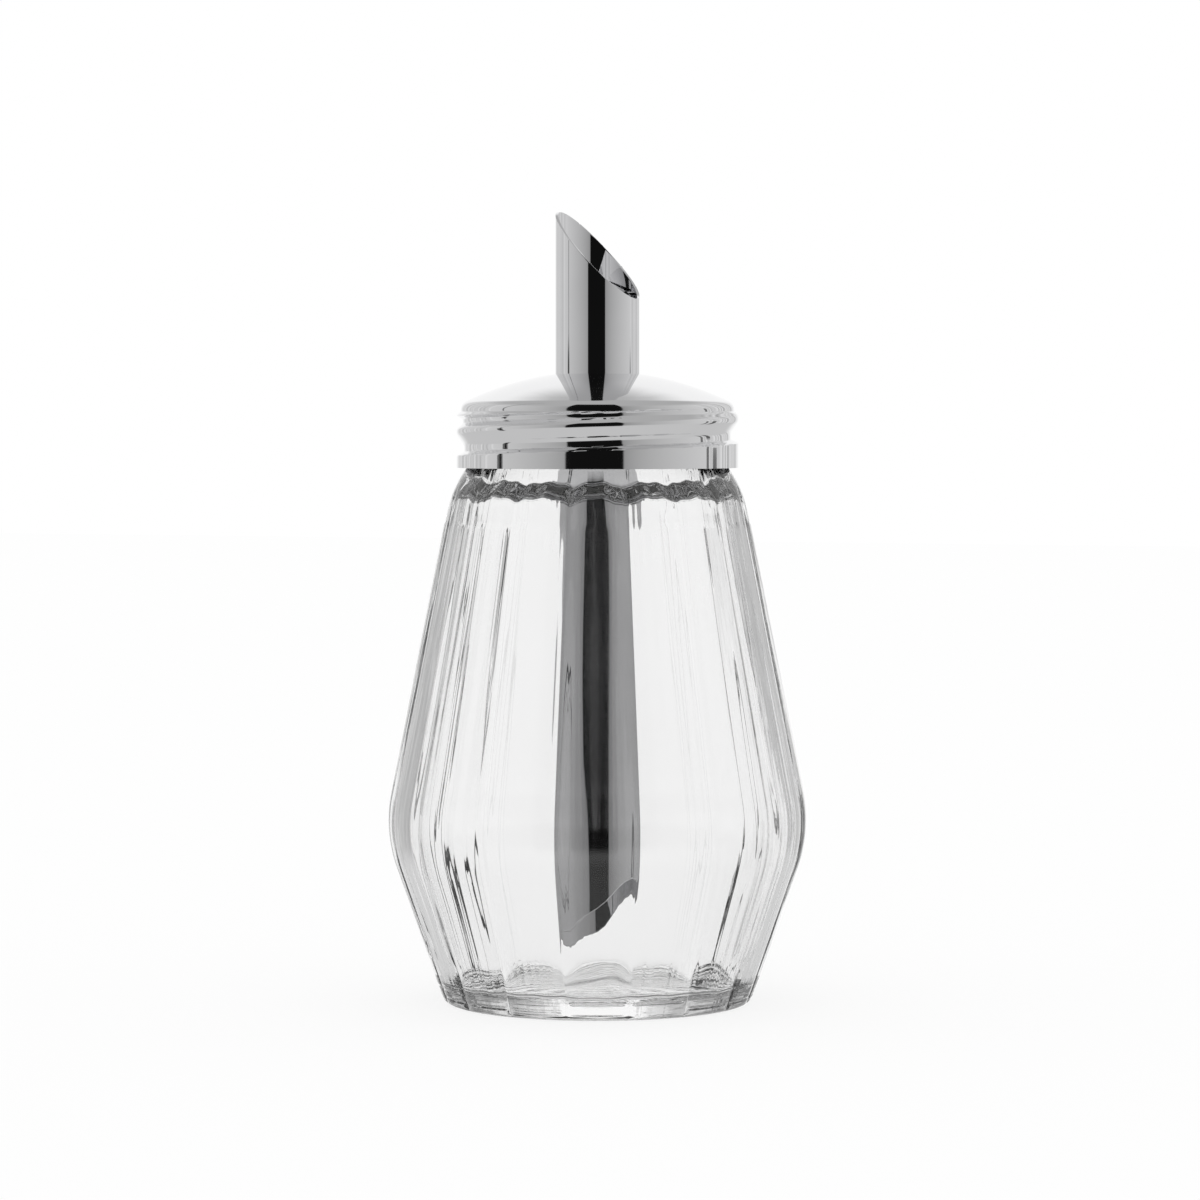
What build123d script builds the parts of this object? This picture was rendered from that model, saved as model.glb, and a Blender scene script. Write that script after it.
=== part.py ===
"""Sugar dispenser: a panelled glass jar, a screw cap, a mitred pouring tube and a flap in its mouth.

Millimetres. +Z is up, the origin is the centre of the base, and +X is the way it pours.
"""
import os
from math import atan, cos, pi, radians, sin, sqrt, tan

from build123d import *

os.makedirs("parts", exist_ok=True)

# Glass jar
foot_radius = 29.1           # middle of a panel, carried straight down to the table
belly_radius = 40.7          # where the two cones would meet
belly_height = 32.6
neck_cone_radius = 27.2      # middle of a panel, carried up to cone_top_height
cone_top_height = 100.5
belly_blend = 27.0
belly_steps = 6              # rings of panels that round the belly off
panel_count = 16
valley_ratio = 0.982         # a valley between two panels, as a share of the radius at a panel's middle
contact_radius = 27.4
foot_corner_height = 2.9
foot_corner_radius = 30.1
shoulder_start = (29.05, 91.0)
shoulder_middle = (27.4, 96.8)
shoulder_end = (24.9, 101.4)
neck_radius = 24.4
rim_height = 112.6
bore_radius = 21.5
floor_height = 5.0
wall = 2.9
push_up_radius = 22.0
push_up_depth = 1.2
push_up_slope = 1.5
cavity_floor_radius = 28.0
cavity_top_height = 92.0
bore_start_height = 99.5
cavity_blends = (6.0, 24.0, 5.0, 3.0)    # floor, belly, shoulder and neck
rim_rounding = 0.7

# Thread: right-handed, one start. The cap's rolled groove turns under the ridge on the glass
pitch = 5.0
thread_middle_height = 106.1     # centre of the groove at thread_middle_angle
thread_middle_angle = -67.5
groove_low = 103.5
groove_high = 111.2
groove_radius = 25.35            # outside of the sheet at the groove's bottom
groove_bottom = (-0.5, 0.8)      # heights from the groove's centre
groove_mouth = (-1.2, 2.6)
groove_reach = 0.2
ridge_low = 102.8                # height of the groove's centre where the ridge starts
ridge_high = 107.7
ridge_offset = 3.05              # height of the ridge above the groove's centre
ridge_crest_radius = 25.8
ridge_crest = (-0.2, 0.2)
ridge_root = (-1.9, 0.9)

# Screw cap
sheet = 0.5
wall_radius = 26.8
wall_top = 111.4
skirt_top = 104.0
skirt_radius = 27.0
skirt_bottom = 101.4
hem_thickness = 0.6
hem_height = 0.9
dome_radius = 57.0
dome_top = 119.8
dome_edge_radius = 24.5
shoulder_radius = 26.0
shoulder_height = 112.9
shoulder_drop = 0.7
shoulder_round = (0.45, 0.8)
seal_inner_radius = 21.7
seal_outer_radius = 24.2
seal_thickness = 0.9
seal_gap = 0.1

# Pouring tube
tube_radius = 7.5
tube_wall = 0.4
mouth_middle_height = 141.8
mouth_slope = 1.11               # fall of the mouth towards +X, per millimetre
intake_middle_height = 16.5
intake_slope = 1.0               # rise of the lower end towards +X
collar_radius = 10.6
collar_bottom = 116.4
collar_gap = 0.05

# Flap and its pin
pin_radius = 0.5
pin_x = 2.0
flap_rise = radians(26)          # rise of the closed flap away from the pouring side
flap_front_height = 133.3        # top of the flap, carried on to the tube's front wall
flap_thickness = 0.5
flap_half_width = 6.6
flap_gap = 0.12                  # between the flap's ends and the tube's bore
sleeve_radius = 1.05
sleeve_clearance = 0.04
sleeve_half_width = 5.0

tube_bore = tube_radius - tube_wall
panel_step = 2 * pi / panel_count
flare_out = (belly_radius - foot_radius) / belly_height
flare_in = (belly_radius - neck_cone_radius) / (cone_top_height - belly_height)
blend_reach = belly_blend * tan((atan(flare_out) + atan(flare_in)) / 2)
blend_low = belly_height - blend_reach * cos(atan(flare_out))
blend_high = belly_height + blend_reach * cos(atan(flare_in))
blend_centre_height = blend_low + belly_blend * sin(atan(flare_out))
blend_centre_radius = foot_radius + blend_low * flare_out - belly_blend * cos(atan(flare_out))
belly_heights = [
    blend_low + (blend_high - blend_low) * step / belly_steps for step in range(belly_steps + 1)
]
sleeve_lean = sleeve_radius * sin(flap_rise)
pin_height = flap_front_height + ((tube_bore - pin_x) * sin(flap_rise) - sleeve_radius) / cos(flap_rise)
flap_back = (tube_bore + pin_x - flap_gap + (sleeve_radius - flap_thickness) * sin(flap_rise)) / cos(flap_rise)
flap_front = (tube_bore - pin_x - flap_gap - sleeve_lean) / cos(flap_rise)


def panel_radius(height):
    """Radius of the jar at the middle of a panel."""
    if height < blend_low:
        return foot_radius + height * flare_out
    if height > blend_high:
        return belly_radius - (height - belly_height) * flare_in
    return blend_centre_radius + sqrt(belly_blend**2 - (height - blend_centre_height) ** 2)


def panel_outline(height):
    """Sixteen slightly bulged panels, one of them facing +X."""
    middle = panel_radius(height)
    valley = middle * valley_ratio
    with BuildSketch(Plane.XY.offset(height)) as outline:
        with BuildLine():
            for index in range(panel_count):
                angle = index * panel_step
                start = angle - panel_step / 2
                end = angle + panel_step / 2
                ThreePointArc(
                    (valley * cos(start), valley * sin(start)),
                    (middle * cos(angle), middle * sin(angle)),
                    (valley * cos(end), valley * sin(end)),
                )
        make_face()
    return outline.sketch


def thread_angle(height):
    """Angle about Z, in degrees, at which the thread's centre line is at this height."""
    return thread_middle_angle + (height - thread_middle_height) / pitch * 360


def section_plane(height):
    """The plane of a thread profile: X runs outward and Y runs up."""
    angle = radians(thread_angle(height))
    outward = Vector(cos(angle), sin(angle), 0)
    return Plane(origin=(0, 0, height), x_dir=outward, z_dir=outward.cross(Vector(0, 0, 1)))


def thread_solid(profile_points, low, high):
    """A thread profile swept along the helix between two heights."""
    with BuildPart() as thread:
        with BuildLine(Plane.XY.offset(low)) as helix:
            Helix(pitch=pitch, height=high - low, radius=neck_radius)
        with BuildSketch(section_plane(low)):
            with BuildLine():
                Polyline(*profile_points, close=True)
            make_face()
        sweep(path=helix.line.rotate(Axis.Z, thread_angle(low)), is_frenet=True)
    return thread.part


def groove_profile(inset):
    """Section of the rolled groove, or of the skin inset inside it, carried a little past the wall."""
    depth = wall_radius - groove_radius
    points = []
    for bottom, mouth in zip(groove_bottom, groove_mouth):
        rise = mouth - bottom
        wider = inset * (sqrt(depth**2 + rise**2) - abs(rise)) / depth
        wider = wider if rise > 0 else -wider
        beyond = groove_reach / depth
        points.append((groove_radius - inset, bottom + wider))
        points.append((wall_radius - inset + groove_reach, mouth + wider + beyond * rise))
    return points[1], points[0], points[2], points[3]


def dome_height(radius, inset=0.0):
    """Height of the dome's skin, or of a skin inset below it."""
    return dome_top - dome_radius + sqrt((dome_radius - inset) ** 2 - radius**2)


# Glass jar
with BuildPart() as glass_jar:
    for height in (0, *belly_heights, cone_top_height):
        add(panel_outline(height))
    loft(ruled=True)
    with BuildSketch(Plane.XZ):
        with BuildLine():
            Line((0, 0), (contact_radius, 0))
            ThreePointArc(
                (contact_radius, 0),
                (foot_corner_radius - 0.75, 0.75),
                (foot_corner_radius, foot_corner_height),
            )
            Polyline(
                (foot_corner_radius, foot_corner_height),
                (belly_radius + 5, belly_height),
                (belly_radius + 5, 60),
                shoulder_start,
            )
            ThreePointArc(shoulder_start, shoulder_middle, shoulder_end)
            Polyline(shoulder_end, (0, shoulder_end[1]), (0, 0))
        make_face()
    revolve(mode=Mode.INTERSECT)
    with BuildSketch(Plane.XY.offset(shoulder_middle[1])):
        Circle(neck_radius)
    extrude(amount=rim_height - shoulder_middle[1])
    add(
        thread_solid(
            (
                (neck_radius - 0.5, ridge_offset + ridge_root[0]),
                (ridge_crest_radius, ridge_offset + ridge_crest[0]),
                (ridge_crest_radius, ridge_offset + ridge_crest[1]),
                (neck_radius - 0.5, ridge_offset + ridge_root[1]),
            ),
            ridge_low,
            ridge_high,
        )
    )
    with BuildSketch(Plane.XZ):
        with BuildLine():
            Polyline(
                (0, floor_height),
                (cavity_floor_radius, floor_height),
                (belly_radius - wall, belly_height),
                (panel_radius(cavity_top_height) - wall, cavity_top_height),
                (bore_radius, bore_start_height),
                (bore_radius, rim_height + 1),
                (0, rim_height + 1),
                (0, floor_height),
            )
        make_face()
        corners = vertices().filter_by_position(Axis.X, bore_radius - 0.1, belly_radius)
        corners = corners.filter_by_position(Axis.Y, 0, rim_height - 1).sort_by(Axis.Y)
        for corner, blend in zip(corners, cavity_blends):
            fillet(corner, blend)
    revolve(mode=Mode.SUBTRACT)
    with BuildSketch(Plane.XZ):
        with BuildLine():
            Polyline(
                (0, -1),
                (push_up_radius + push_up_slope, -1),
                (push_up_radius, 0),
                (push_up_radius - push_up_slope, push_up_depth),
                (0, push_up_depth),
                (0, -1),
            )
        make_face()
    revolve(mode=Mode.SUBTRACT)
    rim_edges = edges().filter_by(GeomType.CIRCLE).filter_by_position(Axis.Z, rim_height - 0.1, rim_height + 0.1)
    fillet(rim_edges, rim_rounding)
glass_jar.part.label = "glass_jar"
export_step(glass_jar.part, "parts/glass_jar.step")

# Screw cap: the room inside it, then the sheet around that room
with BuildPart() as cap_room:
    with BuildSketch(Plane.XZ):
        with BuildLine():
            ThreePointArc(
                (tube_radius, dome_height(tube_radius, sheet)),
                (dome_edge_radius / 2, dome_height(dome_edge_radius / 2, sheet)),
                (dome_edge_radius, dome_height(dome_edge_radius, sheet)),
            )
            Polyline(
                (dome_edge_radius, dome_height(dome_edge_radius, sheet)),
                (shoulder_radius - sheet, shoulder_height),
                (shoulder_radius - sheet, shoulder_height - shoulder_drop),
                (wall_radius - sheet, wall_top - sheet / 2),
                (wall_radius - sheet, skirt_top),
                (skirt_radius - sheet, skirt_bottom + hem_height + 0.1),
                (skirt_radius - hem_thickness, skirt_bottom + hem_height),
                (skirt_radius - hem_thickness, skirt_bottom - 1),
                (tube_radius, skirt_bottom - 1),
                (tube_radius, dome_height(tube_radius, sheet)),
            )
        make_face()
    revolve()
    add(thread_solid(groove_profile(sheet), groove_low, groove_high), mode=Mode.SUBTRACT)
with BuildPart() as screw_cap:
    with BuildSketch(Plane.XZ):
        with BuildLine():
            ThreePointArc(
                (tube_radius, dome_height(tube_radius)),
                (dome_edge_radius / 2, dome_height(dome_edge_radius / 2)),
                (dome_edge_radius, dome_height(dome_edge_radius)),
            )
            ThreePointArc(
                (dome_edge_radius, dome_height(dome_edge_radius)),
                (shoulder_radius - shoulder_round[0], shoulder_height + shoulder_round[1]),
                (shoulder_radius, shoulder_height),
            )
            Polyline(
                (shoulder_radius, shoulder_height),
                (shoulder_radius, shoulder_height - shoulder_drop),
                (wall_radius, wall_top),
                (wall_radius, skirt_top),
                (skirt_radius, skirt_bottom),
                (tube_radius, skirt_bottom),
                (tube_radius, dome_height(tube_radius)),
            )
        make_face()
    revolve()
    add(cap_room.part, mode=Mode.SUBTRACT)
    add(thread_solid(groove_profile(0), groove_low, groove_high), mode=Mode.SUBTRACT)
screw_cap.part.label = "screw_cap"
export_step(screw_cap.part, "parts/screw_cap.step")

# Sealing ring under the cap's dome
with BuildPart() as seal_ring:
    with BuildSketch(Plane.XY.offset(rim_height + seal_gap)):
        Circle(seal_outer_radius)
        Circle(seal_inner_radius, mode=Mode.SUBTRACT)
    extrude(amount=seal_thickness)
    chamfer(edges().group_by(Axis.Z)[-1].sort_by(SortBy.LENGTH)[-1], 0.25)
seal_ring.part.label = "seal_ring"
export_step(seal_ring.part, "parts/seal_ring.step")

# Pouring tube, mitred at both ends
mouth_plane = Plane(origin=(0, 0, mouth_middle_height), z_dir=(mouth_slope, 0, 1))
intake_plane = Plane(origin=(0, 0, intake_middle_height), z_dir=(-intake_slope, 0, 1))
pin_plane = Plane(origin=(pin_x, 0, pin_height), z_dir=(0, 1, 0))
with BuildPart() as spout_tube:
    with BuildSketch():
        Circle(tube_radius)
        Circle(tube_bore, mode=Mode.SUBTRACT)
    extrude(amount=mouth_middle_height + 2 * tube_radius)
    split(bisect_by=mouth_plane, keep=Keep.BOTTOM)
    split(bisect_by=intake_plane, keep=Keep.TOP)
    with BuildSketch(pin_plane):
        Circle(pin_radius)
    extrude(amount=2 * tube_radius, both=True, mode=Mode.SUBTRACT)
spout_tube.part.label = "spout_tube"
export_step(spout_tube.part, "parts/spout_tube.step")

# Collar that holds the tube under the dome
with BuildPart() as tube_collar:
    with BuildSketch(Plane.XZ):
        with BuildLine():
            Polyline(
                (tube_radius, collar_bottom),
                (collar_radius - 0.6, collar_bottom),
                (collar_radius, collar_bottom + 0.6),
                (collar_radius, dome_height(collar_radius, sheet + collar_gap)),
                (tube_radius, dome_height(tube_radius, sheet + collar_gap)),
                (tube_radius, collar_bottom),
            )
        make_face()
    revolve()
tube_collar.part.label = "tube_collar"
export_step(tube_collar.part, "parts/tube_collar.step")

# Flap: a plate with a sleeve under it, which turns on the pin
flap_plane = Plane(
    origin=(pin_x, 0, pin_height),
    x_dir=(-cos(flap_rise), 0, sin(flap_rise)),
    z_dir=(sin(flap_rise), 0, cos(flap_rise)),
)
with BuildPart() as flap:
    with BuildSketch(flap_plane.offset(sleeve_radius - flap_thickness)):
        with Locations(((flap_back - flap_front) / 2, 0)):
            Ellipse((flap_back + flap_front) / 2, flap_half_width)
    extrude(amount=flap_thickness)
    with BuildSketch(pin_plane):
        Circle(sleeve_radius)
    extrude(amount=sleeve_half_width, both=True)
    with BuildSketch(pin_plane):
        Circle(pin_radius + sleeve_clearance)
    extrude(amount=sleeve_half_width, both=True, mode=Mode.SUBTRACT)
flap.part.label = "flap"
export_step(flap.part, "parts/flap.step")

# Pin, pressed through both walls of the tube and ground flush
with BuildPart() as flap_pin:
    with BuildSketch(pin_plane):
        Circle(pin_radius)
    extrude(amount=tube_radius, both=True)
    with BuildSketch(Plane.XY.offset(pin_height - 1)):
        Circle(tube_radius)
    extrude(amount=2, mode=Mode.INTERSECT)
flap_pin.part.label = "flap_pin"
export_step(flap_pin.part, "parts/flap_pin.step")
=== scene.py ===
from math import acos, atan2, ceil, cos, degrees, exp, floor, hypot, pi, radians, sin, sqrt, tan

import bpy
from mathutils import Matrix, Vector


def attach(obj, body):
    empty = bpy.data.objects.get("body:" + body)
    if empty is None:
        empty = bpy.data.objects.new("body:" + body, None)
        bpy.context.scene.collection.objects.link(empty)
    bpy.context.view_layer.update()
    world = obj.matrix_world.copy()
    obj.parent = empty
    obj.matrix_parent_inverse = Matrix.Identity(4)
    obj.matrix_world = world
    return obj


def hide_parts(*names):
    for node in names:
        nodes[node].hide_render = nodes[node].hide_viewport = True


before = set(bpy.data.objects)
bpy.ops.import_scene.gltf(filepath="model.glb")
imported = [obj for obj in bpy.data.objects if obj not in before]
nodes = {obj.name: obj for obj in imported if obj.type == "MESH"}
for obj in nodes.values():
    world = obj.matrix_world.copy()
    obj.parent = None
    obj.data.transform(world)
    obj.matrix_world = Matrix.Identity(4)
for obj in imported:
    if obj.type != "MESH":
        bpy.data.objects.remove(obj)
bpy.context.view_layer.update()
mm = 0.001
turn = 2 * pi


def smoothStep(value, low, high):
    share = min(max((value - low) / (high - low), 0), 1)
    return share * share * (3 - 2 * share)


def roundedPath(corners, spacing):
    # corners are (radius, height, rounding) in millimetres; long runs get a point every spacing
    widest = 12  # degrees at most between two points of a rounding
    path = []
    for index, (radius, height, rounding) in enumerate(corners):
        here = Vector((radius, height))
        if rounding and 0 < index < len(corners) - 1:
            before = (Vector(corners[index - 1][:2]) - here).normalized()
            after = (Vector(corners[index + 1][:2]) - here).normalized()
            half = acos(max(-1, min(1, before.dot(after)))) / 2
            reach = rounding / tan(half)
            centre = here + (before + after).normalized() * (rounding / sin(half))
            first = here + before * reach - centre
            last = here + after * reach - centre
            swing = pi - 2 * half
            sign = 1 if first.x * last.y - first.y * last.x > 0 else -1
            steps = max(3, ceil(rounding * swing / spacing), ceil(degrees(swing) / widest))
            points = []
            for step in range(steps + 1):
                angle = sign * swing * step / steps
                points.append(centre + Vector((
                    first.x * cos(angle) - first.y * sin(angle),
                    first.x * sin(angle) + first.y * cos(angle),
                )))
        else:
            points = [here]
        if path:
            gap = points[0] - path[-1]
            runs = max(1, ceil(gap.length / spacing))
            start = path[-1]
            path += [start + gap * run / runs for run in range(1, runs)]
        path += points
    return path


def drawProfile(name, path):
    # one vertex, drawn on along the path in the XZ plane
    bpy.ops.object.select_all(action="DESELECT")
    bpy.ops.mesh.primitive_plane_add(size=mm, location=(0, 0, 0))
    piece = bpy.context.object
    piece.name = name
    piece.data.name = name
    bpy.ops.object.mode_set(mode="EDIT")
    bpy.ops.mesh.select_all(action="SELECT")
    bpy.ops.mesh.merge(type="CENTER")
    bpy.ops.transform.translate(value=(path[0].x * mm, 0, path[0].y * mm))
    for before, after in zip(path, path[1:]):
        step = (after - before) * mm
        bpy.ops.mesh.extrude_region_move(TRANSFORM_OT_translate={"value": (step.x, 0, step.y)})
    return piece


def spinProfile(piece, columns):
    # the profile is turned round the Z axis into a closed skin
    bpy.ops.object.mode_set(mode="OBJECT")
    lathe = piece.modifiers.new("lathe", "SCREW")
    lathe.angle = turn
    lathe.steps = lathe.render_steps = columns
    lathe.use_merge_vertices = True
    lathe.merge_threshold = 0.002 * mm
    bpy.ops.object.modifier_apply(modifier="lathe")
    bpy.ops.object.mode_set(mode="EDIT")
    bpy.ops.mesh.select_all(action="SELECT")
    bpy.ops.mesh.normals_make_consistent(inside=False)
    bpy.ops.object.mode_set(mode="OBJECT")


def shapeSkin(piece, newPlace):
    # newPlace(radius, angle, height) in millimetres and radians gives each vertex its own three
    for vertex in piece.data.vertices:
        radius = hypot(vertex.co.x, vertex.co.y) / mm
        radius, angle, height = newPlace(radius, atan2(vertex.co.y, vertex.co.x), vertex.co.z / mm)
        vertex.co = Vector((radius * cos(angle), radius * sin(angle), height)) * mm
    piece.data.update()


def smoothPiece(piece, angle=30):
    bpy.ops.object.select_all(action="DESELECT")
    piece.select_set(True)
    bpy.context.view_layer.objects.active = piece
    bpy.ops.object.shade_smooth_by_angle(angle=radians(angle))


thread = {
    "pitch": 5.0,
    "middleHeight": 106.1,  # centre of the cap's rolled groove, at middleAngle
    "middleAngle": -67.5,
}


def threadOffset(angle, height, lowest):
    # height above the groove's centre line, from lowest to lowest + pitch, and the line's own height
    line = thread["middleHeight"] + thread["pitch"] * (degrees(angle) - thread["middleAngle"]) / 360
    line += thread["pitch"] * floor((height - lowest - line) / thread["pitch"])
    return height - line, line


def ramp(value, low, high):
    # straight from 0 at low to 1 at high, with both ends rounded
    share = (value - low) / (high - low)
    soft = 0.18
    if share < soft:
        return max(share + soft, 0) ** 2 / (4 * soft)
    if share > 1 - soft:
        return 1 - max(1 + soft - share, 0) ** 2 / (4 * soft)
    return share


def hump(value, start, flatStart, flatEnd, end):
    return ramp(value, start, flatStart) * (1 - ramp(value, flatEnd, end))


class Wire:
    def __init__(self, tree, socket=None):
        self.tree = tree
        self.socket = socket

    def node(self, kind, settings=None, sockets=None, output=0):
        made = self.tree.nodes.new("ShaderNode" + kind)
        for name, value in (settings or {}).items():
            setattr(made, name, value)
        for name, value in (sockets or {}).items():
            if isinstance(value, Wire):
                self.tree.links.new(value.socket, made.inputs[name])
            else:
                made.inputs[name].default_value = value
        return Wire(self.tree, made.outputs[output] if made.outputs else None)

    def output(self, name):
        # another output of the node that this socket belongs to
        return Wire(self.tree, self.socket.node.outputs[name])

    def math(self, operation, first, second):
        return self.node("Math", {"operation": operation}, {0: first, 1: second})

    def __add__(self, other):
        return self.math("ADD", self, other)

    def __radd__(self, other):
        return self.math("ADD", other, self)

    def __sub__(self, other):
        return self.math("SUBTRACT", self, other)

    def __rsub__(self, other):
        return self.math("SUBTRACT", other, self)

    def __mul__(self, other):
        return self.math("MULTIPLY", self, other)

    def __rmul__(self, other):
        return self.math("MULTIPLY", other, self)

    def rise(self, low, high):
        # 0 below low, 1 above high, smooth between
        return self.node(
            "MapRange", {"interpolation_type": "SMOOTHSTEP"},
            {"Value": self, "From Min": low, "From Max": high},
        )

    def band(self, low, high, soft):
        return self.rise(low - soft, low + soft) - self.rise(high - soft, high + soft)


def newMaterial(name):
    made = bpy.data.materials.new(name)
    made.use_nodes = True
    made.node_tree.nodes.clear()
    return made, Wire(made.node_tree)


def objectPlace(wire, scale=(1, 1, 1)):
    place = wire.node("TexCoord", output=3)
    return wire.node("Mapping", None, {"Vector": place, "Scale": scale})


def noise(wire, place, scale, detail=2.0, roughness=0.5):
    return wire.node(
        "TexNoise", None, {"Vector": place, "Scale": scale, "Detail": detail, "Roughness": roughness}
    )


def mixColours(wire, share, first, second):
    return wire.node("Mix", {"data_type": "RGBA"}, {0: share, 6: first, 7: second}, output=2)


def finishMaterial(wire, sockets):
    shader = wire.node("BsdfPrincipled", None, sockets)
    wire.node("OutputMaterial", None, {"Surface": shader})


glassLook = {
    "tint": (0.995, 0.995, 0.995, 1),
    "tintDeep": (0.98, 0.98, 0.98, 1),
    "tintScale": 20,
    "ior": 1.5,
    "waveScale": 55,
    "waveDepth": 0.08,
    "streaks": (20.0, 11.0),  # turns of noise for a radian round the jar, and for a metre up it
    "streakDepth": 0.7,
    "streakHeight": 0.1 * mm,
}


def makeGlass():
    made, wire = newMaterial("pressedGlass")
    place = objectPlace(wire)
    waves = noise(wire, place, glassLook["waveScale"], 1.0)
    depth = noise(wire, place, glassLook["tintScale"])
    tint = mixColours(wire, depth, glassLook["tint"], glassLook["tintDeep"])
    # streaks that run up the wall, drawn out from the moulding
    split = wire.node("SeparateXYZ", None, {0: place})
    flat = wire.node("CombineXYZ", None, {0: split.output(0), 1: split.output(1)})
    around = wire.node("VectorMath", {"operation": "NORMALIZE"}, {0: flat})
    ring = wire.node("SeparateXYZ", None, {0: around})
    sideways, upward = glassLook["streaks"]
    drawn = wire.node("CombineXYZ", None, {
        0: ring.output(0) * sideways, 1: ring.output(1) * sideways, 2: split.output(2) * upward,
    })
    streaks = noise(wire, drawn, 1.0, 1.0)
    bump = wire.node("Bump", None, {
        "Strength": glassLook["waveDepth"], "Distance": mm, "Height": waves,
    })
    bump = wire.node("Bump", None, {
        "Strength": glassLook["streakDepth"], "Distance": glassLook["streakHeight"],
        "Height": streaks, "Normal": bump,
    })
    finishMaterial(wire, {
        "Base Color": tint,
        "Roughness": 0.0,
        "IOR": glassLook["ior"],
        "Transmission Weight": 1.0,
        "Normal": bump,
    })
    return made


capLook = {
    "bright": (0.86, 0.86, 0.865, 1),
    "dull": (0.80, 0.80, 0.81, 1),
    "roughLow": 0.02,
    "roughHigh": 0.07,
    "smudgeScale": 60,
    "dentScale": 30,
    "dentDepth": 0.06,
}


def makeCapSteel():
    made, wire = newMaterial("polishedCapSteel")
    place = objectPlace(wire)
    smudge = noise(wire, place, capLook["smudgeScale"], 3.0)
    dents = noise(wire, place, capLook["dentScale"], 1.0)
    bump = wire.node("Bump", None, {
        "Strength": capLook["dentDepth"], "Distance": mm, "Height": dents,
    })
    finishMaterial(wire, {
        "Base Color": mixColours(wire, smudge, capLook["bright"], capLook["dull"]),
        "Metallic": 1.0,
        "Roughness": capLook["roughLow"] + (capLook["roughHigh"] - capLook["roughLow"]) * smudge,
        "Normal": bump,
    })
    return made


tubeLook = {
    "bright": (0.85, 0.85, 0.86, 1),
    "dull": (0.74, 0.74, 0.75, 1),
    "roughOut": 0.01,
    "roughIn": 0.04,
    "smudgeScale": 90,
    "lineScale": (900, 900, 6),
    "lineDepth": 0.05,
    "lineHeight": 0.05 * mm,
    "paintedShadeColour": (0.76, 0.76, 0.77, 1),  # painted shade: the darker colour of the tube inside the jar, below the cap
    "paintedShadeTop": (0.099, 0.101),  # heights between which the painted shade ends
    "paintedShadeScale": (160, 160, 45),
    "paintedShadeLeast": 0.45,
    "paintedShadeBlotches": (0.4, 0.6),
}


def makeTubeSteel():
    made, wire = newMaterial("polishedTubeSteel")
    lines = noise(wire, objectPlace(wire, tubeLook["lineScale"]), 1.0, 3.0)
    smudge = noise(wire, objectPlace(wire), tubeLook["smudgeScale"], 2.0)
    height = wire.node("SeparateXYZ", None, {0: wire.node("TexCoord", output=3)}).output(2)
    # painted shade: below the cap the tube is mixed towards a darker colour, made blotchy by noise
    low = 1 - height.rise(*tubeLook["paintedShadeTop"])
    blotches = noise(wire, objectPlace(wire, tubeLook["paintedShadeScale"]), 1.0, 2.0)
    blotches = blotches.rise(*tubeLook["paintedShadeBlotches"])
    paintedShade = low * (tubeLook["paintedShadeLeast"] + (1 - tubeLook["paintedShadeLeast"]) * blotches)
    bump = wire.node("Bump", None, {
        "Strength": tubeLook["lineDepth"], "Distance": tubeLook["lineHeight"], "Height": lines,
    })
    polished = mixColours(wire, smudge, tubeLook["bright"], tubeLook["dull"])
    finishMaterial(wire, {
        "Base Color": mixColours(wire, paintedShade, polished, tubeLook["paintedShadeColour"]),
        "Metallic": 1.0,
        "Roughness": tubeLook["roughOut"] + (tubeLook["roughIn"] - tubeLook["roughOut"]) * (lines + paintedShade),
        "Normal": bump,
    })
    return made


plainLook = {
    "name": "plainSteel",
    "bright": (0.72, 0.72, 0.73, 1),
    "dull": (0.58, 0.58, 0.59, 1),
    "rough": 0.22,
    "roughMore": 0.12,
    "lineScale": (60, 1500, 60),
}
flapLook = {
    "name": "flapSteel",
    "bright": (0.86, 0.86, 0.87, 1),
    "dull": (0.78, 0.78, 0.79, 1),
    "rough": 0.05,
    "roughMore": 0.05,
    "lineScale": (60, 900, 60),
}


def makePlainSteel(look):
    made, wire = newMaterial(look["name"])
    lines = noise(wire, objectPlace(wire, look["lineScale"]), 1.0, 3.0)
    finishMaterial(wire, {
        "Base Color": mixColours(wire, lines, look["bright"], look["dull"]),
        "Metallic": 1.0,
        "Roughness": look["rough"] + look["roughMore"] * lines,
    })
    return made


sealLook = {
    "pale": (0.88, 0.88, 0.86, 1),
    "dark": (0.80, 0.80, 0.77, 1),
    "rough": 0.5,
    "roughMore": 0.1,
    "grainScale": 1200,
}


def makeSeal():
    made, wire = newMaterial("softSeal")
    grain = noise(wire, objectPlace(wire), sealLook["grainScale"], 2.0)
    finishMaterial(wire, {
        "Base Color": mixColours(wire, grain, sealLook["pale"], sealLook["dark"]),
        "Roughness": sealLook["rough"] + sealLook["roughMore"] * grain,
    })
    return made


glassMaterial = makeGlass()
capMaterial = makeCapSteel()
tubeMaterial = makeTubeSteel()
plainMaterial = makePlainSteel(plainLook)
flapMaterial = makePlainSteel(flapLook)
sealMaterial = makeSeal()
print("materials made")

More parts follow.
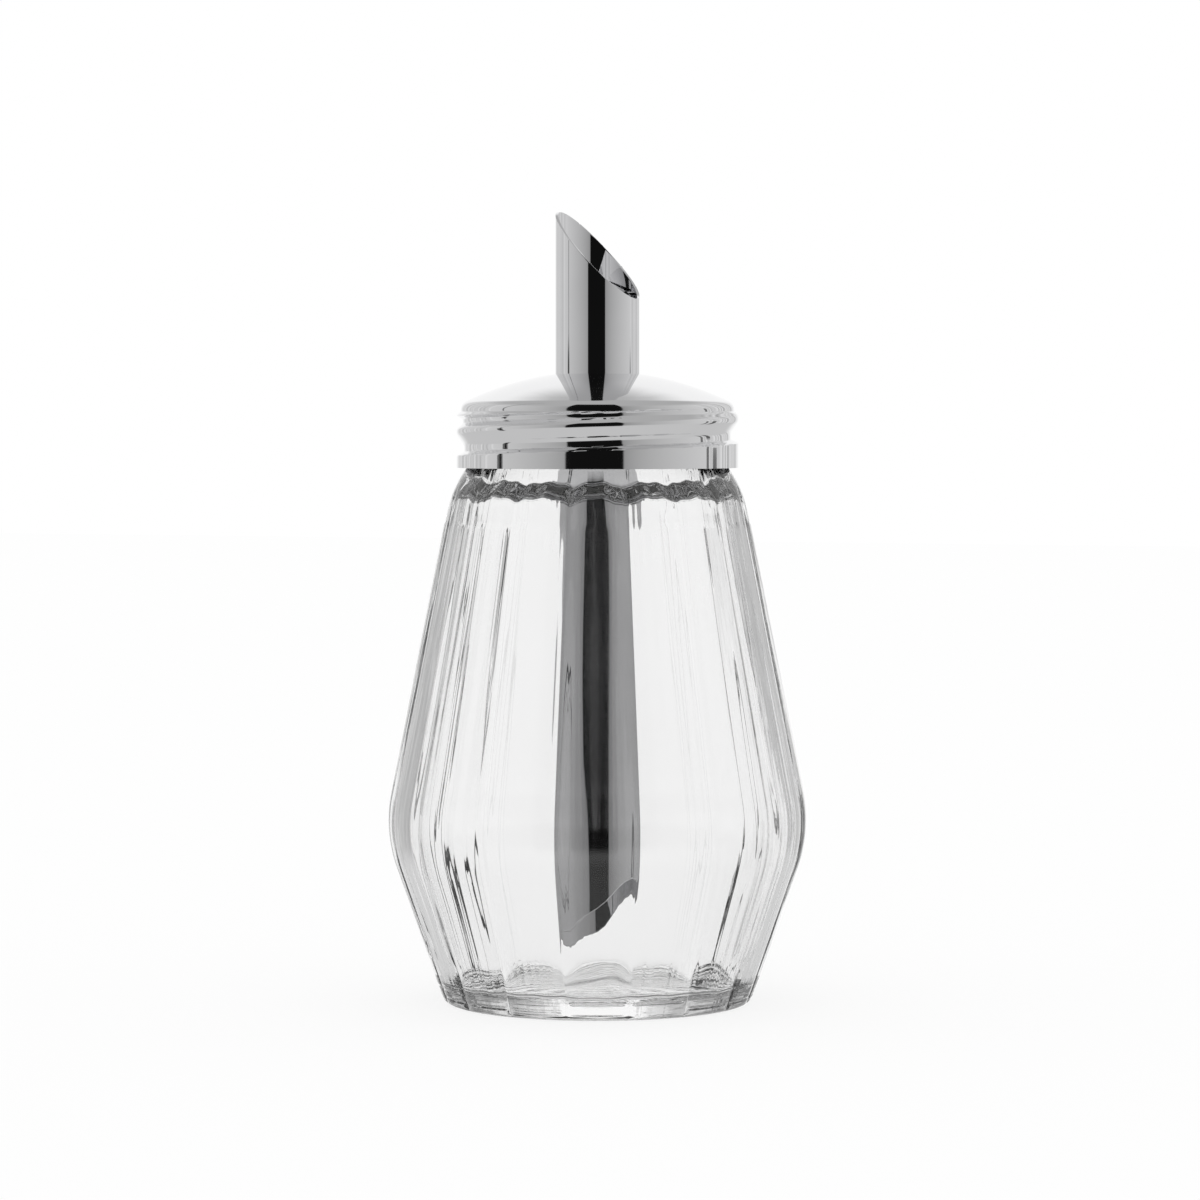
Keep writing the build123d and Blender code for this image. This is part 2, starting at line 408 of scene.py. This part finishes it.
jar = {
    "columns": 288,
    "gather": 0.64,  # draws the columns towards the creases between the panels
    "spacing": 1.4,
    "panels": 16,
    "valley": 0.982,
    "footRadius": 29.1,
    "bellyRadius": 40.7,
    "bellyHeight": 32.6,
    "bellyBlend": 27.0,
    "coneTopRadius": 27.2,
    "coneTopHeight": 100.5,
    "contactRadius": 27.4,
    "footCorner": (30.1, 2.9),
    "footBulge": (29.35, 0.75),
    "footBlend": 1.5,  # how far above the foot's corner its lines reach
    "joinGap": 0.5,  # between the foot's or the shoulder's rows and those of the belly
    "shoulder": ((29.05, 91.0), (27.4, 96.8), (24.9, 101.4)),
    "neckRadius": 24.4,
    "neckBottom": 101.9,
    "rimHeight": 112.6,
    "rimRounding": 0.8,
    "boreRadius": 21.5,
    "floorHeight": 4.4,
    "floorCorner": (28.3, 1.6),
    "sideAngle": 22.5,  # pairs below are the values across from this direction and along it
    "crease": 0.6,  # half width of the channel between two panels
    "creaseDepth": (0.06, 0.17),
    "wall": 2.2,
    "innerValley": (0.983, 0.988),
    "innerBore": (97.6, 0.8),  # height and rounding where the bore opens out
    "innerShoulder": (95.6, 1.5),
    "innerBelly": 24.0,
    "innerReach": (1, 8, 92, 96),  # heights over the floor, then over the table, that the waves fade between
    "waves": (  # count round the inside, lean, start and size
        (5, 0.023, 1.3, 0.10), (11, 0.041, 0.4, 0.07), (19, 0.067, 2.9, 0.06), (37, 0.09, 5.1, 0.045),
    ),
    "waveSwell": 0.6,
    "shoulderSag": 0.8,
    "shoulderReach": (88, 94, 97.5, 99.5),
    "floorSag": 0.10,
    "floorReach": (0.2, 2.0),
    "floorRing": (12, 26),
    "underRibs": (2.8, 0.14),  # spacing and depth of the rings in the underside
    "underRing": (2, 6),
    "pushUp": (22.0, 1.2),
    "pushSlope": 1.5,
    "footRows": 28,
    "shoulderRows": 30,
    "shoulderStart": 86,
    "underSpacing": 0.75,
    "neckSpacing": 0.4,
    "rimDepth": 3,  # of the bore that is drawn with the neck
    "footLines": ((3.3, 0.24), (1.8, 0.18), (0.9, 0.12)),  # height and depth of broken lines on the foot
    "footLineHeight": 0.26,
    "softness": 0.5,
    "ridge": 1.4,
    "ridgeShape": (1.15, 2.85, 3.25, 3.95),  # heights above the groove's centre line
    "ridgeReach": (102.7, 102.9, 107.6, 107.8),
}
jar["flareIn"] = (jar["bellyRadius"] - jar["coneTopRadius"]) / (jar["coneTopHeight"] - jar["bellyHeight"])


def circleThrough(first, middle, last):
    a, b, c = (Vector(p) for p in (first, middle, last))
    d = 2 * (a.x * (b.y - c.y) + b.x * (c.y - a.y) + c.x * (a.y - b.y))
    sa, sb, sc = a.length_squared, b.length_squared, c.length_squared
    centre = Vector((
        (sa * (b.y - c.y) + sb * (c.y - a.y) + sc * (a.y - b.y)) / d,
        (sa * (c.x - b.x) + sb * (a.x - c.x) + sc * (b.x - a.x)) / d,
    ))
    return centre, (a - centre).length


shoulderCentre, shoulderArc = circleThrough(*jar["shoulder"])
footCentre, footArc = circleThrough((jar["contactRadius"], 0), jar["footBulge"], jar["footCorner"])
bellyPath = roundedPath([
    (jar["footRadius"], 0, 0),
    (jar["bellyRadius"], jar["bellyHeight"], jar["bellyBlend"]),
    (jar["coneTopRadius"], jar["coneTopHeight"], 0),
], jar["spacing"])


def panelRadius(height):
    # radius at the middle of a panel, between the points of the belly's path
    for low, high in zip(bellyPath, bellyPath[1:]):
        if height <= high.y:
            return low.x + (high.x - low.x) * (height - low.y) / (high.y - low.y)
    return bellyPath[-1].x - (height - bellyPath[-1].y) * jar["flareIn"]


def panelShare(angle):
    # from -0.5 to 0.5 across a panel
    return (angle * jar["panels"] / turn + 0.5) % 1 - 0.5


def alongSide(angle, values):
    # the first value across from sideAngle, the second along it on both sides of the jar
    first, second = values
    return first + (second - first) * cos(angle - radians(jar["sideAngle"])) ** 2


def footLine(angle, share, height):
    # some panels carry short moulded lines low on the foot
    panel = floor(angle * jar["panels"] / turn + 0.5)
    depth = 0
    for index, (level, most) in enumerate(jar["footLines"]):
        strength = max(0, 0.5 + 0.7 * sin(5 * panel + 2.3 * index + 5))
        strength *= smoothStep(0.5 - abs(share), 0.03, 0.12)
        depth += most * strength * exp(-(((height - level) / jar["footLineHeight"]) ** 2))
    return depth


def skinRadius(angle, height):
    share = panelShare(angle)
    middle = panelRadius(height)
    lobed = middle * (1 - (1 - jar["valley"]) * (2 * share) ** 2)
    fromCrease = (0.5 - abs(share)) * turn / jar["panels"] * middle
    lobed -= alongSide(angle, jar["creaseDepth"]) * exp(-((fromCrease / jar["crease"]) ** 2))
    if height < jar["footCorner"][1] + jar["footBlend"]:
        lobed -= footLine(angle, share, height)
    envelope = lobed + 2 * jar["softness"]  # out of reach, unless the shoulder or the foot gives one
    if height > jar["shoulder"][0][1]:
        envelope = shoulderCentre.x + sqrt(max(shoulderArc**2 - (height - shoulderCentre.y) ** 2, 0))
    elif height < jar["footCorner"][1]:
        envelope = footCentre.x + sqrt(max(footArc**2 - (height - footCentre.y) ** 2, 0))
        envelope -= footLine(angle, share, height)
    near = max(jar["softness"] - abs(lobed - envelope), 0) / jar["softness"]
    return min(lobed, envelope) - near * near * jar["softness"] / 4


def innerSkin(radius, angle, height):
    # the inside follows the panels softly, and is never quite true
    share = panelShare(angle)
    above = height - jar["floorHeight"]
    lowStart, lowEnd, highStart, highEnd = jar["innerReach"]
    reach = smoothStep(above, lowStart, lowEnd) * (1 - smoothStep(height, highStart, highEnd))
    lobes = radius * (1 - alongSide(angle, jar["innerValley"])) * (2 * share) ** 2
    waves = sum(
        size * sin(count * angle + start) * (1 + jar["waveSwell"] * sin(lean * height + 3 * start))
        for count, lean, start, size in jar["waves"]
    )
    # the shoulder and the floor sag a little from panel to panel
    sag = 0.5 - 1.6 * share**2 * 4 * (0.75 + 0.25 * sin(5 * angle + 1.0)) + 0.2 * sin(43 * angle)
    lowStart, lowEnd, highStart, highEnd = jar["shoulderReach"]
    shoulder = smoothStep(height, lowStart, lowEnd) * (1 - smoothStep(height, highStart, highEnd))
    ripple = sin(7 * angle + 0.5) + 0.7 * sin(31 * angle + 1.1) + 0.4 * sin(radius * 1.9)
    ripple *= (1 - smoothStep(above, *jar["floorReach"])) * smoothStep(radius, *jar["floorRing"])
    rise = sag * shoulder * jar["shoulderSag"] + ripple * jar["floorSag"]
    return radius - (lobes - waves) * reach, angle, height + rise


def makeJar():
    footTop = jar["footCorner"][1] + jar["footBlend"]
    shoulderLow, shoulderHigh = jar["shoulderStart"], jar["shoulder"][2][1]
    outside = [point for point in bellyPath if footTop < point.y < shoulderLow - jar["joinGap"]]
    foot = []
    for step in range(jar["footRows"] + 1):
        height = (footTop - jar["joinGap"]) * step / jar["footRows"]
        foot.append(Vector((skinRadius(0, height), height)))
    shoulder = []
    for step in range(jar["shoulderRows"] + 1):
        height = shoulderLow + (shoulderHigh - shoulderLow) * step / jar["shoulderRows"]
        shoulder.append(Vector((skinRadius(0, height), height)))
    pushRadius, pushDepth = jar["pushUp"]
    underside = roundedPath([
        (0, pushDepth, 0),
        (pushRadius - jar["pushSlope"], pushDepth, 1.0),
        (pushRadius, 0, 0.8),
        (foot[0].x, 0, 0),
    ], jar["underSpacing"])
    boreTop = (jar["boreRadius"], jar["rimHeight"] - jar["rimDepth"], 0)
    neck = roundedPath([
        (shoulder[-1].x, shoulder[-1].y, 0),
        (jar["neckRadius"], jar["neckBottom"], 0.3),
        (jar["neckRadius"], jar["rimHeight"], jar["rimRounding"]),
        (jar["boreRadius"], jar["rimHeight"], jar["rimRounding"]),
        boreTop,
    ], jar["neckSpacing"])
    innerHeight, innerRounding = jar["innerShoulder"]
    inside = roundedPath([
        boreTop,
        (jar["boreRadius"], *jar["innerBore"]),
        (panelRadius(innerHeight) - jar["wall"], innerHeight, innerRounding),
        (jar["bellyRadius"] - jar["wall"], jar["bellyHeight"], jar["innerBelly"]),
        (jar["floorCorner"][0], jar["floorHeight"], jar["floorCorner"][1]),
        (0, jar["floorHeight"], 0),
    ], jar["spacing"])
    path = underside[:-1] + foot + outside + shoulder + neck[1:] + inside[1:]
    piece = drawProfile("jarGlass", path)
    spinProfile(piece, jar["columns"])

    def jarSkin(radius, angle, height):
        angle += jar["gather"] * sin(jar["panels"] * angle) / jar["panels"]
        if height > jar["neckBottom"] - 0.3:
            if radius > jar["neckRadius"] - 0.01:
                offset, line = threadOffset(angle, height, -1.0)
                radius += jar["ridge"] * hump(offset, *jar["ridgeShape"]) * hump(line, *jar["ridgeReach"])
            return radius, angle, height
        if radius > skinRadius(0, height) - 0.05:
            return skinRadius(angle, height), angle, height
        if height > jar["floorHeight"] - 0.01:
            return innerSkin(radius, angle, height)
        if radius < foot[0].x - 0.01:
            # broken rings are pressed into the underside
            width, depth = jar["underRibs"]
            share = (foot[0].x - radius) / width
            broken = 0.6 + 0.4 * sin(16 * angle + 2 * floor(share)) * sin(7 * angle + floor(share))
            depth *= broken * smoothStep(radius, *jar["underRing"])
            height += depth * (0.5 - 0.5 * cos(turn * share))
        return radius, angle, height

    shapeSkin(piece, jarSkin)
    smoothPiece(piece, 60)
    piece.data.materials.append(glassMaterial)
    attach(piece, "jar")
    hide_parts("glass_jar")
    return piece


jarPiece = makeJar()
print("jar made", len(jarPiece.data.polygons))

cap = {
    "columns": 384,
    "spacing": 0.22,
    "sheet": 0.5,
    "tubeRadius": 7.5,
    "domeRadius": 57.0,
    "domeTop": 119.8,
    "domeEdge": 23.5,
    "shoulderRadius": 26.0,
    "shoulderTop": 113.58,
    "shoulderRounding": 1.8,
    "shoulderBottom": 112.1,
    "wallRadius": 26.8,
    "wallTop": 111.4,
    "skirtTop": 104.0,
    "skirtRadius": 27.0,
    "skirtBottom": 101.4,
    "hem": (0.6, 0.9),
    "domeRows": 24,
    "underRows": 16,
    "underInset": 0.2,
    "lipStart": 112.8,  # above this the skin runs out to the shoulder again
    "lipFlare": 3,
    "grooveDepth": (1.45, 1.15),  # first turn, second turn
    "grooveMouthLow": -1.2,
    "grooveBottomLow": (-0.55, -0.1),
    "grooveBottomHigh": (0.8, 0.7),
    "grooveMouthHigh": (2.9, 1.25),
    "secondTurn": (108.4, 110.2),
    "grooveReach": (103.2, 104.0, 111.4, 112.9),
}


def domeHeight(radius, inset=0.0):
    return cap["domeTop"] - cap["domeRadius"] + sqrt((cap["domeRadius"] - inset) ** 2 - radius**2)


def grooveDepth(angle, height):
    offset, line = threadOffset(angle, height, cap["grooveMouthLow"] - 0.1)
    second = smoothStep(line, *cap["secondTurn"])
    depth, bottomLow, bottomHigh, mouthHigh = (
        cap[name][0] + (cap[name][1] - cap[name][0]) * second
        for name in ("grooveDepth", "grooveBottomLow", "grooveBottomHigh", "grooveMouthHigh")
    )
    depth *= hump(line, *cap["grooveReach"])
    return depth * hump(offset, cap["grooveMouthLow"], bottomLow, bottomHigh, mouthHigh)


def makeCap():
    sheet = cap["sheet"]
    hemWidth, hemHeight = cap["hem"]
    edge = cap["domeEdge"]
    under = edge - cap["underInset"]

    def domeArc(start, end, rows, inset=0.0):
        radii = [start + (end - start) * step / rows for step in range(rows + 1)]
        return [Vector((radius, domeHeight(radius, inset))) for radius in radii]

    dome = domeArc(cap["tubeRadius"], edge, cap["domeRows"])
    outside = roundedPath([
        (edge, domeHeight(edge), 0),
        (cap["shoulderRadius"], cap["shoulderTop"], cap["shoulderRounding"]),
        (cap["shoulderRadius"], cap["shoulderBottom"], 0.25),
        (cap["wallRadius"], cap["wallTop"], 0.3),
        (cap["wallRadius"], cap["skirtTop"], 0),
        (cap["skirtRadius"], cap["skirtBottom"], 0.28),
        (cap["skirtRadius"] - hemWidth, cap["skirtBottom"], 0.28),
        (cap["skirtRadius"] - hemWidth, cap["skirtBottom"] + hemHeight, 0.05),
        (cap["skirtRadius"] - sheet, cap["skirtBottom"] + hemHeight + 0.1, 0.05),
        (cap["wallRadius"] - sheet, cap["skirtTop"], 0),
        (cap["wallRadius"] - sheet, cap["wallTop"] - 0.1, 0.3),
        (cap["shoulderRadius"] - sheet, cap["shoulderBottom"], 0.2),
        (cap["shoulderRadius"] - sheet, cap["shoulderTop"] - 0.3, cap["shoulderRounding"] - sheet),
        (under, domeHeight(under, sheet), 0),
    ], cap["spacing"])
    ceiling = domeArc(under, cap["tubeRadius"], cap["underRows"], sheet)
    path = dome + outside[1:] + ceiling[1:] + [dome[0]]
    piece = drawProfile("capSheet", path)
    spinProfile(piece, cap["columns"])

    def capSkin(radius, angle, height):
        # the skin gives way to the groove, and what already stands further in stays
        if radius < cap["shoulderRadius"] - sheet - 0.3 or height > cap["shoulderTop"]:
            return radius, angle, height
        inset = sheet if radius < skinLine(height) - sheet / 2 else 0
        limit = cap["wallRadius"] - inset - grooveDepth(angle, height)
        limit += max(height - cap["lipStart"], 0) * cap["lipFlare"]
        return min(radius, limit), angle, height

    def skinLine(height):
        # the cap's outside without the groove
        for low, high in zip(outside[1:], outside):
            if low.y <= height <= high.y:
                return low.x + (high.x - low.x) * (height - low.y) / max(high.y - low.y, 0.001)
        return outside[0].x

    shapeSkin(piece, capSkin)
    smoothPiece(piece, 40)
    piece.data.materials.append(capMaterial)
    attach(piece, "lid")
    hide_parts("screw_cap")
    return piece


capPiece = makeCap()
print("cap made", len(capPiece.data.polygons))

tube = {
    "columns": 240,
    "radius": 7.5,
    "wall": 0.5,
    "mouthHeight": 141.8,
    "mouthSlope": 1.11,
    "intakeHeight": 16.5,
    "intakeSlope": 1.0,
    "edge": 0.05,
    "rings": 40,
    "ringStep": 4.0,
    "edgeRings": (0.25, 1.2),  # loops beside each mitre, so that the long faces stay true
}


def makeTube():
    bpy.ops.object.select_all(action="DESELECT")
    bpy.ops.mesh.primitive_circle_add(
        vertices=tube["columns"], radius=tube["radius"] * mm, location=(0, 0, 0)
    )
    piece = bpy.context.object
    piece.name = "pourTube"
    bpy.ops.object.mode_set(mode="EDIT")
    for ring in range(tube["rings"]):
        bpy.ops.mesh.extrude_region_move(TRANSFORM_OT_translate={"value": (0, 0, tube["ringStep"] * mm)})
    mitres = ((tube["mouthHeight"], tube["mouthSlope"]), (tube["intakeHeight"], -tube["intakeSlope"]))
    for height, slope in mitres:
        for depth in (0, *tube["edgeRings"]):
            bpy.ops.mesh.select_all(action="SELECT")
            inward = depth if slope < 0 else -depth
            bpy.ops.mesh.bisect(
                plane_co=(0, 0, (height + inward) * mm), plane_no=Vector((slope, 0, 1)).normalized(),
                clear_outer=slope > 0 and not depth, clear_inner=slope < 0 and not depth,
            )
    bpy.ops.object.mode_set(mode="OBJECT")
    wall = piece.modifiers.new("wall", "SOLIDIFY")
    wall.thickness = tube["wall"] * mm
    wall.offset = -1
    wall.use_even_offset = True
    edges = piece.modifiers.new("edges", "BEVEL")
    edges.width = tube["edge"] * mm
    edges.segments = 2
    edges.limit_method = "ANGLE"
    edges.angle_limit = radians(40)
    for name in ("wall", "edges"):
        bpy.ops.object.modifier_apply(modifier=name)
    smoothPiece(piece, 30)
    piece.data.materials.append(tubeMaterial)
    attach(piece, "lid")
    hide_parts("spout_tube")
    return piece


tubePiece = makeTube()
print("tube made", len(tubePiece.data.polygons))

for name, material in (
    ("seal_ring", sealMaterial),
    ("tube_collar", plainMaterial),
    ("flap", flapMaterial),
    ("flap_pin", flapMaterial),
):
    nodes[name].data.materials.clear()
    nodes[name].data.materials.append(material)
print("CAD pieces dressed")

studio = {
    "azimuth": 22.5,
    "front": 0.30,  # brightness beside the flag, at the sides, overhead and on the table
    "side": 0.68,
    "ceiling": 0.47,
    "table": 0.62,
    "spread": (78, 0.6),  # degrees from the flag to the full brightness of the sides, and the curve
    "overhead": (0.50, 0.78),  # rises of the direction between which the ceiling takes over
    "onTable": (-0.26, -0.16),
    "whiteBehind": (151, 168),
    "clearBehind": (84, 98),
    "flag": (-26, 21),  # degrees to either side of the camera
    "flagEdge": 1.0,
    "flagFoot": (-0.36, -0.18),
    "flagTop": (0.84, 0.88),
    "flagDark": 0.02,
    "glassDark": 0.95,  # for rays that the glass turns steeply up or down
    "steepUp": (0.14, 0.26),
    "steepDown": (-0.55, -0.35),
    "downShare": 0.65,
    "throughGlass": 0.32,
    "stripes": (0.22, 2.2),  # of the room behind, per degree, and their strength
    "stripesBehind": (98, 108),
    "lines": (  # dark lines from, to and up to
        (-86.8, -85.2, 0.9), (-89.5, -83.5, 0.017), (100, 103, 0.015), (108, 114, -0.004),
    ),
    "lineEdge": 0.4,
    "lineTop": 0.004,
    "lineFoot": (-0.5, -0.3),
    "lineDark": 0.8,
}


def makeWorld():
    world = bpy.data.worlds.new("studio")
    bpy.context.scene.world = world
    world.use_nodes = True
    world.node_tree.nodes.clear()
    wire = Wire(world.node_tree)
    split = wire.node("SeparateXYZ", None, {0: wire.node("TexCoord", output=0)})
    x, y, z = (split.output(index) for index in range(3))
    a = radians(studio["azimuth"])
    right = x * cos(a) + y * sin(a)
    ahead = x * sin(a) - y * cos(a)
    around = wire.math("ARCTAN2", right, ahead) * degrees(1)
    away = wire.math("ABSOLUTE", around, 0)
    rays = wire.node("LightPath")
    below = 1 - z.rise(*studio["onTable"])
    above = z.rise(*studio["overhead"])
    width, curve = studio["spread"]
    spread = wire.node("Clamp", None, {0: (away - studio["flag"][1]) * (1 / width)})
    spread = wire.math("POWER", spread, curve)
    room = studio["front"] + (studio["side"] - studio["front"]) * spread
    spacing, strength = studio["stripes"]
    stripes = noise(wire, wire.node("CombineXYZ", None, {0: around * spacing}), 1.0, 2.0) - 0.5
    room = room * (1 + stripes * away.rise(*studio["stripesBehind"]) * strength)
    room = room * (1 - rays.output("Is Transmission Ray") * studio["throughGlass"])
    room = room + (studio["ceiling"] - room) * above + (studio["table"] - room) * below
    level = room + (1 - room) * away.rise(*studio["whiteBehind"]) * (1 - above)
    dark = around.band(*studio["flag"], studio["flagEdge"])
    dark = dark * z.rise(*studio["flagFoot"]) * (1 - z.rise(*studio["flagTop"]))
    for low, high, top in studio["lines"]:
        tall = 1 - z.rise(top - studio["lineTop"], top + studio["lineTop"])
        tall = tall * z.rise(*studio["lineFoot"]) * studio["lineDark"]
        dark = dark + around.band(low, high, studio["lineEdge"]) * tall
    inGlass = wire.math("MINIMUM", rays.output("Transmission Depth") * rays.output("Glossy Depth"), 1.0)
    steep = z.rise(*studio["steepUp"]) + (1 - z.rise(*studio["steepDown"])) * studio["downShare"]
    dark = dark + inGlass * steep * studio["glassDark"]
    level = level * (1 - wire.math("MINIMUM", dark, 1.0) * (1 - studio["flagDark"]))
    # what is seen straight through the glass from other sides is pale as well
    clear = rays.output("Is Transmission Ray") * (1 - away.rise(*studio["clearBehind"]))
    clear = clear * wire.math("LESS_THAN", rays.output("Glossy Depth"), 0.5)
    level = wire.math("MAXIMUM", level, clear)
    for kind in ("Is Camera Ray", "Is Diffuse Ray"):
        level = wire.math("MAXIMUM", level, rays.output(kind))
    background = wire.node("Background", None, {"Strength": level, "Color": (1, 1, 1, 1)})
    wire.node("OutputWorld", None, {"Surface": background})


makeWorld()

stage = {"size": 6.0, "glow": 0.85}


def makeFloor():
    bpy.ops.object.select_all(action="DESELECT")
    bpy.ops.mesh.primitive_plane_add(size=stage["size"], location=(0, 0, 0))
    piece = bpy.context.object
    piece.name = "floor"
    made, wire = newMaterial("paleFloor")
    rays = wire.node("LightPath")
    diffuse = wire.node("BsdfDiffuse", None, {"Color": (1, 1, 1, 1)})
    glow = wire.node("Emission", None, {"Color": (1, 1, 1, 1), "Strength": 1.0})
    seen = wire.math("MAXIMUM", rays.output("Is Camera Ray"), rays.output("Is Transmission Ray"))
    mixed = wire.node("MixShader", None, {0: seen * stage["glow"], 1: diffuse, 2: glow})
    # a reflection looks past the floor
    mirrored = wire.math("GREATER_THAN", rays.output("Glossy Depth"), 0.5)
    mixed = wire.node("MixShader", None, {0: mirrored, 1: mixed, 2: wire.node("BsdfTransparent")})
    wire.node("OutputMaterial", None, {"Surface": mixed})
    piece.data.materials.append(made)


makeFloor()

lens = {
    "distance": 0.829,
    "height": 0.1101,
    "pixelsPerMillimetre": 5.26,
    "frame": 1200,
    "horizon": 422,
    "axis": 597.5,
}


def makeCamera():
    camera = bpy.data.cameras.new("camera")
    holder = bpy.data.objects.new("camera", camera)
    bpy.context.scene.collection.objects.link(holder)
    bpy.context.scene.camera = holder
    a = radians(studio["azimuth"])
    holder.location = (lens["distance"] * sin(a), -lens["distance"] * cos(a), lens["height"])
    holder.rotation_euler = (pi / 2, 0, a)
    camera.sensor_width = 36
    camera.lens = 36 * lens["distance"] / mm / (lens["frame"] / lens["pixelsPerMillimetre"])
    middle = lens["frame"] / 2
    camera.shift_x = (middle - lens["axis"]) / lens["frame"]
    camera.shift_y = -(middle - lens["horizon"]) / lens["frame"]
    camera.clip_start = 0.01
    camera.clip_end = 50


makeCamera()
scene = bpy.context.scene
scene.view_settings.view_transform = "Standard"
scene.cycles.max_bounces = 24
scene.cycles.glossy_bounces = 16
scene.cycles.transmission_bounces = 24
print("studio made")
